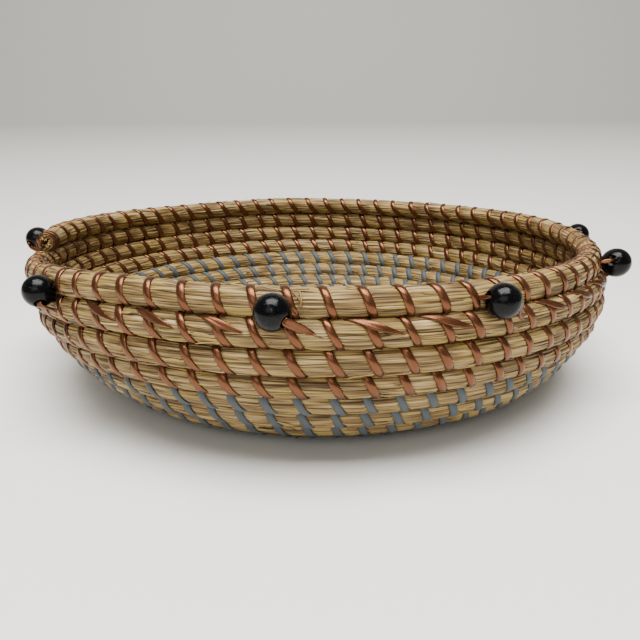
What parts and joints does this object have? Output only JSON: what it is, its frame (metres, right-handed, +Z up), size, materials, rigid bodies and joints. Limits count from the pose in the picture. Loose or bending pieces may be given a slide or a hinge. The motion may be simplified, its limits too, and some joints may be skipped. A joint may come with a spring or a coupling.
{
  "type": "coiled straw basket",
  "caption": "Open round bowl coiled from a straw bundle, bound with copper ribbon, with wooden beads that turn on ribbon strands in the groove under the rim row.",
  "frame": {"origin": "on the resting plane, under the middle of the rim", "axes": "+Z up along the bowl's axis, -Y towards the front, +X to the right seen from the front"},
  "size_m": [0.3089, 0.307, 0.0729],
  "materials": {
    "straw": "matt dry straw",
    "copper_ribbon": "satin metallic ribbon",
    "black_wood": "glossy black lacquer"
  },
  "bodies": {
    "basket": {"base_coil": "straw", "bead_strand_1": "copper_ribbon", "bead_strand_2": "copper_ribbon", "bead_strand_3": "copper_ribbon", "bead_strand_4": "copper_ribbon", "bead_strand_5": "copper_ribbon", "bead_strand_6": "copper_ribbon", "bead_strand_7": "copper_ribbon", "bead_strand_8": "copper_ribbon", "bead_strand_9": "copper_ribbon", "cross_strand_1": "copper_ribbon", "cross_strand_10": "copper_ribbon", "cross_strand_11": "copper_ribbon", "cross_strand_12": "copper_ribbon", "cross_strand_13": "copper_ribbon", "cross_strand_14": "copper_ribbon", "cross_strand_15": "copper_ribbon", "cross_strand_16": "copper_ribbon", "cross_strand_17": "copper_ribbon", "cross_strand_18": "copper_ribbon", "cross_strand_19": "copper_ribbon", "cross_strand_2": "copper_ribbon", "cross_strand_20": "copper_ribbon", "cross_strand_21": "copper_ribbon", "cross_strand_22": "copper_ribbon", "cross_strand_23": "copper_ribbon", "cross_strand_24": "copper_ribbon", "cross_strand_25": "copper_ribbon", "cross_strand_3": "copper_ribbon", "cross_strand_4": "copper_ribbon", "cross_strand_5": "copper_ribbon", "cross_strand_6": "copper_ribbon", "cross_strand_7": "copper_ribbon", "cross_strand_8": "copper_ribbon", "cross_strand_9": "copper_ribbon", "lower_wall_coil": "straw", "rim_binding": "copper_ribbon", "upper_wall_coil": "straw"},
    "bead_1": {"bead_1": "black_wood"},
    "bead_2": {"bead_2": "black_wood"},
    "bead_3": {"bead_3": "black_wood"},
    "bead_4": {"bead_4": "black_wood"},
    "bead_5": {"bead_5": "black_wood"},
    "bead_6": {"bead_6": "black_wood"},
    "bead_7": {"bead_7": "black_wood"},
    "bead_8": {"bead_8": "black_wood"},
    "bead_9": {"bead_9": "black_wood"}
  },
  "joints": [
    {"name": "bead_1_spin", "type": "hinge", "parent": "basket", "child": "bead_1", "pos_m": [-0.01253, -0.14706, 0.06595], "axis": [0.7492, -0.5516, -0.3667], "continuous": true},
    {"name": "bead_2_spin", "type": "hinge", "parent": "basket", "child": "bead_2", "pos_m": [0.06575, -0.13246, 0.06528], "axis": [0.9589, 0.1239, -0.2554], "continuous": true},
    {"name": "bead_3_spin", "type": "hinge", "parent": "basket", "child": "bead_3", "pos_m": [0.13445, -0.06488, 0.06427], "axis": [0.6724, 0.6698, -0.3152], "continuous": true},
    {"name": "bead_4_spin", "type": "hinge", "parent": "basket", "child": "bead_4", "pos_m": [0.14809, 0.01492, 0.06359], "axis": [0.3151, 0.8842, -0.3449], "continuous": true},
    {"name": "bead_5_spin", "type": "hinge", "parent": "basket", "child": "bead_5", "pos_m": [0.09921, 0.1103, 0.06137], "axis": [-0.3396, 0.9012, -0.2692], "continuous": true},
    {"name": "bead_6_spin", "type": "hinge", "parent": "basket", "child": "bead_6", "pos_m": [-0.00321, 0.14729, 0.06224], "axis": [-0.8243, 0.4053, -0.3954], "continuous": true},
    {"name": "bead_7_spin", "type": "hinge", "parent": "basket", "child": "bead_7", "pos_m": [-0.10487, 0.10246, 0.06402], "axis": [-0.8303, -0.4539, -0.3234], "continuous": true},
    {"name": "bead_8_spin", "type": "hinge", "parent": "basket", "child": "bead_8", "pos_m": [-0.14805, -0.00213, 0.06615], "axis": [-0.3866, -0.85, -0.3579], "continuous": true},
    {"name": "bead_9_spin", "type": "hinge", "parent": "basket", "child": "bead_9", "pos_m": [-0.10632, -0.10264, 0.06246], "axis": [0.2991, -0.6817, -0.6677], "continuous": true}
  ]
}
